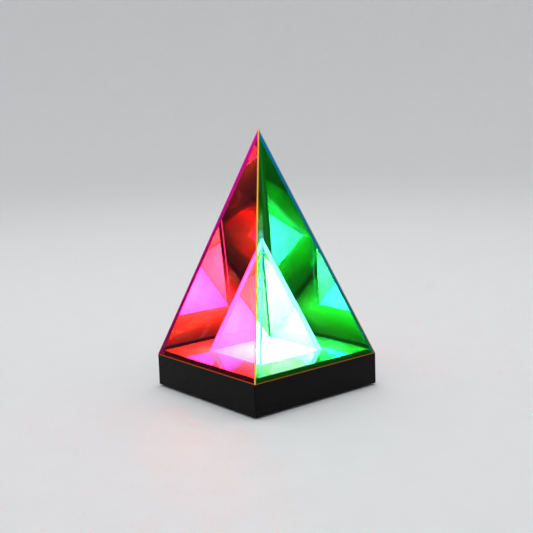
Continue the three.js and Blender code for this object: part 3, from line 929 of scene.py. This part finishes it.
def build_leds(looks):
    """A moulded package with tinned ends, and a low dome of phosphor in its cup."""
    dome = in_mm(
        (0.2, 0.98), (1.68, 0.98), (1.95, 1.3), (1.7, 1.36), (1.2, 1.42), (0.6, 1.46), (0.2, 1.47),
    )
    for i in range(1, 10):
        cad = f"led_{i}"
        stand_for(refined(f"{cad}_package", cad, 0.12 * MM, [looks["white"]]), cad)
        low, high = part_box(cad)
        place = (low + high) / 2
        place.z = low.z
        goes_with(lathe(f"{cad}_phosphor", dome, place, [looks["phosphor"]], count=32), cad)
        ends = []
        for side in (-1, 1):
            x = sorted((place.x + side * 2.4 * MM, place.x + side * 2.75 * MM))
            for y in (-1.1 * MM, 1.1 * MM):
                start = place.y + y - 0.6 * MM
                ends.append(((x[0], start, low.z), (x[1], start + 1.2 * MM, low.z + 0.45 * MM)))
        goes_with(boxes(f"{cad}_ends", ends, 0.06 * MM, [looks["tin"]]), cad)


# The middle of a wire in millimetres: along Y, and up from the lower end of the wire.
WIRE_ROUTE = (
    (42.2, 1.25), (41.4, 1.35), (40.0, 2.45), (38.2, 3.65), (36.4, 3.55), (35.2, 2.45),
    (35.0, 1.25), (35.0, 0.0),
)
WIRE_RADIUS = 0.75 * MM


def build_wires(looks):
    """Round insulated wires over the gap between the boards, each with its solder joint and pad."""
    joint = in_mm((1.35, 0.0), (1.3, 0.12), (1.1, 0.35), (0.95, 0.7), (0.82, 0.85), (0.3, 0.9))
    pad = in_mm((1.75, 0.0), (1.75, 0.03), (1.7, 0.045), (0.3, 0.045))
    collar = in_mm((1.15, 0.0), (1.25, 0.06), (1.25, 0.3), (1.15, 0.38), (0.82, 0.38), (0.8, 0.1))
    board_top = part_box("led_board")[1].z
    for cad in ("wire_red", "wire_black"):
        middle = middle_of(cad)
        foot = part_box(cad)[0].z
        points = [Vector((middle.x, y * MM, foot + z * MM)) for y, z in WIRE_ROUTE]
        shape = bmesh.new()
        loft(shape, tube_rings(smooth_route(points, 6), WIRE_RADIUS))
        stand_for(piece_from(f"{cad}_insulation", shape, [looks[cad]]), cad)
        end = Vector((middle.x, points[-1].y, board_top))
        goes_with(lathe(f"{cad}_joint", joint, end, [looks["tin"]], count=32), cad)
        goes_with(lathe(f"{cad}_pad", pad, end, [looks["gold"]], count=32), cad)
        mouth = Vector((middle.x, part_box("wire_header")[0].y, points[0].z))
        ring = lathe(f"{cad}_collar", collar, mouth, [looks["white"]], -BACKWARD, 32)
        goes_with(ring, "wire_header")


def smooth_route(points, steps):
    """A Catmull-Rom curve through the points."""
    ends = [2 * points[0] - points[1]] + points + [2 * points[-1] - points[-2]]
    curve = []
    for a, b, c, d in zip(ends, ends[1:], ends[2:], ends[3:]):
        for i in range(steps):
            t = i / steps
            bend = (2 * a - 5 * b + 4 * c - d) * t * t + (3 * b - a - 3 * c + d) * t ** 3
            curve.append((2 * b + (c - a) * t + bend) / 2)
    curve.append(points[-1])
    return curve


def tube_rings(curve, radius):
    """Rings round a curve that lies in a plane facing X."""
    rings = []
    across = Vector((1, 0, 0))
    for i, point in enumerate(curve):
        ahead = curve[min(i + 1, len(curve) - 1)] - curve[max(i - 1, 0)]
        rings.append(circle(radius, point, 20, across, ahead.normalized().cross(across)))
    return rings


THREAD_PITCH = 0.8 * MM
THREAD_TURNS = 7
THREAD_AROUND = 12
THREAD_RIDGE = 0.2 * MM
SCREW_TAPER = 1.0 * MM


def build_threads(looks):
    """The rolled thread that winds round each screw's shank, down from where its tip tapers."""
    for cad in nodes:
        if "_screw_" not in cad:
            continue
        low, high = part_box(cad)
        middle = (low + high) / 2
        shank = (1.45 if cad.startswith("cover") else 1.2) * MM
        rings = []
        for i in range(THREAD_TURNS * THREAD_AROUND + 1):
            angle = 2 * math.pi * i / THREAD_AROUND
            out = Vector((math.cos(angle), math.sin(angle), 0))
            z = high.z - SCREW_TAPER - THREAD_PITCH * i / THREAD_AROUND
            place = Vector((middle.x, middle.y, z)) + out * shank
            rings.append(circle(THREAD_RIDGE, place, 6, out, Vector((0, 0, 1))))
        shape = bmesh.new()
        loft(shape, rings)
        goes_with(piece_from(f"{cad}_thread", shape, [looks["steel"]]), cad)


# ---- Control board -----------------------------------------------------------------------------

def build_capacitor(looks):
    """A surface-mount electrolytic: chamfered base, crimped can, and its two tinned legs."""
    low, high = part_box("capacitor")
    place = (low + high) / 2
    place.z = low.z
    can = in_mm(
        (0.3, 0.9), (2.3, 0.9), (2.42, 1.0), (2.42, 1.5), (2.3, 1.65), (2.26, 1.8), (2.3, 1.95),
        (2.42, 2.1), (2.42, 6.6), (2.34, 6.86), (2.12, 7.0), (1.7, 7.0), (1.62, 6.93), (0.3, 6.93),
    )
    stand_for(lathe("capacitor_can", can, place, [looks["can"]]), "capacitor")
    top = low.z + 0.95 * MM
    base = boxes("capacitor_base", [(low, (high.x, high.y, top))], 0.3 * MM, [looks["chip"]])
    goes_with(base, "capacitor")
    legs = []
    half = 0.35 * MM
    for edge, out in ((low.y, -1), (high.y, 1)):
        y = sorted((edge + out * 0.5 * MM, edge - out * 0.4 * MM))
        start = (place.x - half, y[0], low.z - 0.03 * MM)
        legs.append((start, (place.x + half, y[1], low.z + 0.2 * MM)))
    goes_with(boxes("capacitor_legs", legs, 0.04 * MM, [looks["tin"]]), "capacitor")


# The shoulder, the drop and the foot of a lead, in millimetres: from and to, out from the body, and up.
LEAD_STEPS = ((-0.10, 0.35, 0.62, 0.78), (0.20, 0.35, 0.0, 0.78), (0.20, 0.85, -0.03, 0.13))
LEAD_PITCH = 1.2 * MM


def build_chip_leads(looks):
    """Eight gull-wing leads, four to a side."""
    low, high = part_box("driver_chip")
    middle = (low + high) / 2
    half = 0.2 * MM
    spans = []
    for i in range(4):
        x = middle.x + (i - 1.5) * LEAD_PITCH
        for edge, out in ((low.y, -1), (high.y, 1)):
            for near, far, bottom, top in LEAD_STEPS:
                y = sorted((edge + out * near * MM, edge + out * far * MM))
                spans.append((
                    (x - half, y[0], low.z + bottom * MM), (x + half, y[1], low.z + top * MM),
                ))
    leads = boxes("driver_chip_leads", spans, 0.03 * MM, [looks["tin"]])
    goes_with(leads, "driver_chip")


def build_inductor(looks):
    """A shielded inductor: a square ferrite ring with chamfered edges, and the drum core in it."""
    low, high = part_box("inductor")
    middle = (low + high) / 2
    top = high.z - 0.25 * MM
    body = boxes("inductor_shield", [(low, (high.x, high.y, top))], 0.5 * MM, [looks["ferrite"]])
    stand_for(body, "inductor")
    drum = in_mm(
        (2.45, -0.3), (2.45, 0.03), (2.2, 0.03), (2.15, -0.1), (2.05, -0.1), (2.0, 0.2),
        (1.9, 0.25), (0.3, 0.25),
    )
    place = Vector((middle.x, middle.y, top))
    goes_with(lathe("inductor_drum", drum, place, [looks["ferrite"]]), "inductor")
    ends = []
    half = 1.4 * MM
    for edge, out in ((low.x, -1), (high.x, 1)):
        x = sorted((edge + out * 0.1 * MM, edge - out * 0.3 * MM))
        start = (x[0], middle.y - half, low.z - 0.03 * MM)
        ends.append((start, (x[1], middle.y + half, low.z + 1.1 * MM)))
    goes_with(boxes("inductor_ends", ends, 0.06 * MM, [looks["tin"]]), "inductor")


# The middles of the chip parts on the control board, in millimetres.
CHIP_PARTS = (
    (7.2, 42.6), (7.2, 44.4), (7.2, 46.2), (-6.5, 43.5), (-6.5, 46.0), (22.4, 48.0), (22.4, 51.0),
)


def build_small_parts(looks):
    """Chip resistors and capacitors on the control board, with tinned ends."""
    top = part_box("control_board")[1].z
    bodies = []
    ends = []
    for x, y in CHIP_PARTS:
        middle = Vector((x * MM, y * MM, top))
        half = Vector((1.0, 0.6, 0)) * MM
        bodies.append((middle - half, middle + half + Vector((0, 0, 0.6 * MM))))
        for side in (-1, 1):
            x0, x1 = sorted((side * 0.72 * MM, side * 1.06 * MM))
            low = middle + Vector((x0, -0.64 * MM, 0))
            ends.append((low, middle + Vector((x1, 0.64 * MM, 0.66 * MM))))
    parts = boxes("chip_parts", bodies, 0.06 * MM, [looks["ceramic"]])
    goes_with(parts, "control_board")
    tinned = boxes("chip_part_ends", ends, 0.08 * MM, [looks["tin"]])
    goes_with(tinned, "control_board")


def build_switch_frame(looks):
    """The folded metal frame that holds the switch together, with its two legs."""
    low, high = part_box("switch_body")
    thick = 0.12 * MM
    top = high.z
    spans = [(
        (low.x + 0.5 * MM, low.y + 1.0 * MM, top - 0.02 * MM),
        (high.x - 0.5 * MM, high.y - 1.6 * MM, top + thick),
    )]
    for x in ((low.x - thick, low.x + 0.02 * MM), (high.x - 0.02 * MM, high.x + thick)):
        spans.append(((x[0], low.y + 2.4 * MM, low.z - 0.04 * MM), (x[1], low.y + 4.6 * MM, top)))
    frame_piece = boxes("switch_frame", spans, 0.04 * MM, [looks["plated"]])
    goes_with(frame_piece, "switch_body")


def main():
    build_camera()
    build_stage()
    looks = make_materials()
    build_shades()
    build_mirror_plate(looks)
    build_plain_parts(looks)
    build_feet(looks)
    build_button(looks)
    build_can(looks)
    build_tongue(looks)
    build_tabs(looks)
    build_leds(looks)
    build_wires(looks)
    build_threads(looks)
    build_capacitor(looks)
    build_chip_leads(looks)
    build_inductor(looks)
    build_small_parts(looks)
    build_switch_frame(looks)


main()
